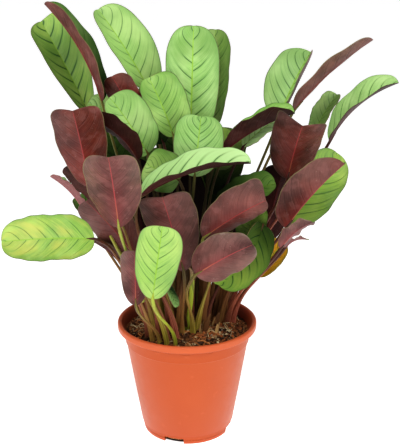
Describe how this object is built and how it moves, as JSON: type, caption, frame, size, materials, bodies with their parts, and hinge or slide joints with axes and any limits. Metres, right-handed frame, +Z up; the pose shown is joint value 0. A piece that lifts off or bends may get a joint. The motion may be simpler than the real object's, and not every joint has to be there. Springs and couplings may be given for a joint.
{
  "type": "potted plant",
  "caption": "Bushy foliage plant with long blunt two-coloured leaves on thin stalks, rooted in soil in a round tapered nursery pot with a rolled rim.",
  "frame": {"origin": "centre of the flat underside of the pot, on the surface that it stands on", "axes": "+Z up along the pot's axis, -Y towards the front, where the fallen side leaf points to -X"},
  "size_m": [0.3542, 0.2226, 0.4285],
  "materials": {
    "terracotta_plastic": "satin",
    "soil": "rough",
    "leaf": "satin"
  },
  "bodies": {
    "root": {"pot": "terracotta_plastic", "soil": "soil", "leaf_back_1": "leaf", "leaf_back_2": "leaf", "leaf_back_3": "leaf", "leaf_back_4": "leaf", "leaf_back_5": "leaf", "leaf_back_6": "leaf", "leaf_back_7": "leaf", "leaf_back_8": "leaf", "leaf_centre_1": "leaf", "leaf_centre_10": "leaf", "leaf_centre_11": "leaf", "leaf_centre_12": "leaf", "leaf_centre_13": "leaf", "leaf_centre_14": "leaf", "leaf_centre_2": "leaf", "leaf_centre_3": "leaf", "leaf_centre_4": "leaf", "leaf_centre_5": "leaf", "leaf_centre_6": "leaf", "leaf_centre_7": "leaf", "leaf_centre_8": "leaf", "leaf_centre_9": "leaf", "leaf_inner_1": "leaf", "leaf_inner_2": "leaf", "leaf_inner_3": "leaf", "leaf_inner_4": "leaf", "leaf_left_1": "leaf", "leaf_left_10": "leaf", "leaf_left_11": "leaf", "leaf_left_12": "leaf", "leaf_left_13": "leaf", "leaf_left_14": "leaf", "leaf_left_15": "leaf", "leaf_left_16": "leaf", "leaf_left_2": "leaf", "leaf_left_3": "leaf", "leaf_left_4": "leaf", "leaf_left_5": "leaf", "leaf_left_6": "leaf", "leaf_left_7": "leaf", "leaf_left_8": "leaf", "leaf_left_9": "leaf", "leaf_right_1": "leaf", "leaf_right_10": "leaf", "leaf_right_11": "leaf", "leaf_right_12": "leaf", "leaf_right_13": "leaf", "leaf_right_2": "leaf", "leaf_right_3": "leaf", "leaf_right_4": "leaf", "leaf_right_5": "leaf", "leaf_right_6": "leaf", "leaf_right_7": "leaf", "leaf_right_8": "leaf", "leaf_right_9": "leaf", "leaf_shoot": "leaf"}
  },
  "joints": []
}
